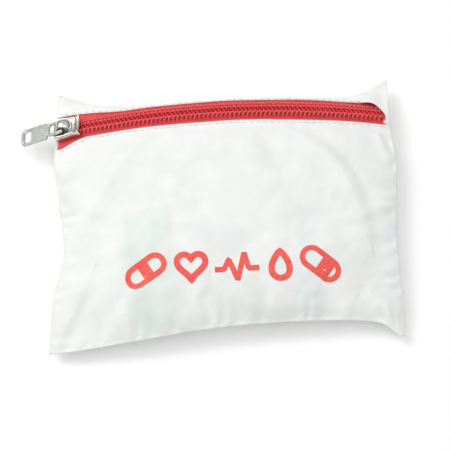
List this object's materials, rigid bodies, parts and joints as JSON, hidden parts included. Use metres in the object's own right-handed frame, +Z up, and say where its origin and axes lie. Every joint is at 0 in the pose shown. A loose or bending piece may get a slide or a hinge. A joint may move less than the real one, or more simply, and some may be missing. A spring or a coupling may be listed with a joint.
{
  "type": "first aid kit pouch",
  "caption": "Soft zip-top first aid pouch in thin white cloth with a red coil zipper, metal slider and pull tab, packed with dressings.",
  "frame": {"origin": "middle of the flat area of the back that the pouch lies on", "axes": "+X along the zipper away from the closed slider, +Y towards the zipper and the top fold, +Z up out of the front"},
  "size_m": [0.1712, 0.1261, 0.0233],
  "materials": {
    "white_cloth": "thin plain-weave nylon, slightly see-through",
    "white_thread": "polyester sewing thread",
    "red_tape": "woven polyester zipper tape",
    "red_coil": "wound polyester monofilament",
    "red_thread": "polyester thread",
    "nickel": "bright nickel plating on a zinc casting",
    "satin_nickel": "satin nickel plating",
    "packet_paper": "sealed paper packet",
    "green_packet": "printed paper packet",
    "blue_packet": "foil-lined paper sachet",
    "white_tape": "cloth tape",
    "tape_core": "pressed card",
    "bandage": "loose elastic weave",
    "blue_vinyl": "thin vinyl"
  },
  "bodies": {
    "pouch": {"front_panel": "white_cloth", "back_panel": "white_cloth", "left_corner_ear": "white_cloth", "right_corner_ear": "white_cloth", "left_side_seam": "white_cloth", "right_side_seam": "white_cloth", "left_seam_stitching": "white_thread", "right_seam_stitching": "white_thread", "lower_topstitching": "white_thread", "lower_zipper_tape": "red_tape", "lower_coil": "red_coil", "lower_coil_cord": "red_thread", "lower_coil_stitching": "red_thread", "gauze_pads": "packet_paper", "plaster_strips": "green_packet", "antiseptic_wipes": "blue_packet", "tape_roll": "white_tape", "tape_core": "tape_core", "bandage_roll": "bandage", "glove_packet": "blue_vinyl"},
    "upper_lip": {"top_strip": "white_cloth", "upper_topstitching": "white_thread", "upper_zipper_tape": "red_tape", "upper_coil": "red_coil", "upper_coil_cord": "red_thread", "upper_coil_stitching": "red_thread"},
    "slider": {"slider_body": "nickel", "slider_crown": "nickel"},
    "pull": {"pull_tab": "satin_nickel"}
  },
  "joints": [
    {"name": "slider_travel", "type": "hinge", "parent": "pouch", "child": "slider", "pos_m": [0, 0.00334, -0.26073], "axis": [0, 0.9903, -0.1392], "range_deg": [0, 26.4], "deforming": ["lower_zipper_tape", "upper_zipper_tape", "lower_coil", "upper_coil", "lower_coil_cord", "upper_coil_cord", "lower_coil_stitching", "upper_coil_stitching"]},
    {"name": "pull_swing", "type": "hinge", "parent": "slider", "child": "pull", "pos_m": [-0.0735, 0.04216, 0.01555], "axis": [0, 0.9903, -0.1392], "range_deg": [0, 165]},
    {"name": "mouth_open", "type": "hinge", "parent": "pouch", "child": "upper_lip", "pos_m": [0, 0.0515, 0.0103], "axis": [-1, 0, 0], "range_deg": [0, 31]}
  ],
  "couplings": [
    {"joint": "mouth_open", "follows": "slider_travel", "ratio": 1.174}
  ]
}
